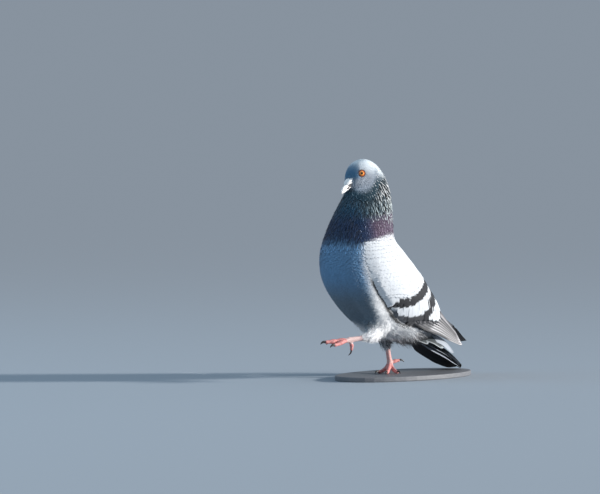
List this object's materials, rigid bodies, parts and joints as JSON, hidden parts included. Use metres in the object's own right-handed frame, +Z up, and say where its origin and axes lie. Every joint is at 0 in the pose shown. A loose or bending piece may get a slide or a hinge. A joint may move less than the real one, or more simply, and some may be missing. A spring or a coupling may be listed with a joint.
{
  "type": "pigeon",
  "caption": "Life-size still model of a blue-barred town pigeon in full display, walking with one foot raised, on a thin oval display base.",
  "frame": {"origin": "centre of the bounding box's bottom face, under the display base", "axes": "+Z up, the bird faces -Y, its left side is +X"},
  "size_m": [0.11, 0.2572, 0.269],
  "materials": {
    "plumage_head": "soft pale blue-grey feathers of the face and crown",
    "plumage_neck": "glossy green to purple neck feathers with silvery tips",
    "plumage_body": "blue-grey breast, paler belly, flanks and back",
    "plumage_wing": "very pale grey wing shield with two charcoal bars",
    "flight_feathers": "dark grey and brown-grey quills of wing and tail",
    "leg_scales": "scaly red-pink skin of shank and toes",
    "claw_horn": "smooth black horn",
    "bill_horn": "smooth pale grey horn with a darker tip",
    "cere": "powdery white swelling over the nostrils",
    "eye": "clear wet eye with an orange iris and a black pupil",
    "stand": "satin grey-brown wood plate"
  },
  "bodies": {
    "root": {"head": "plumage_head", "neck": "plumage_neck", "trunk": "plumage_body", "eye_left": "eye", "eye_right": "eye", "bill_upper": "bill_horn", "bill_lower": "bill_horn", "cere": "cere", "wing_left": "plumage_wing", "wing_right": "plumage_wing", "primaries_left": "flight_feathers", "primaries_right": "flight_feathers", "tail": "flight_feathers", "thigh_right": "plumage_body", "thigh_left": "plumage_body", "shank_right": "leg_scales", "shank_left": "leg_scales", "toe_right_inner": "leg_scales", "claw_right_inner": "claw_horn", "toe_right_middle": "leg_scales", "claw_right_middle": "claw_horn", "toe_right_outer": "leg_scales", "claw_right_outer": "claw_horn", "toe_right_hind": "leg_scales", "claw_right_hind": "claw_horn", "toe_left_inner": "leg_scales", "claw_left_inner": "claw_horn", "toe_left_middle": "leg_scales", "claw_left_middle": "claw_horn", "toe_left_outer": "leg_scales", "claw_left_outer": "claw_horn", "toe_left_hind": "leg_scales", "claw_left_hind": "claw_horn", "stand_base": "stand"}
  },
  "joints": []
}
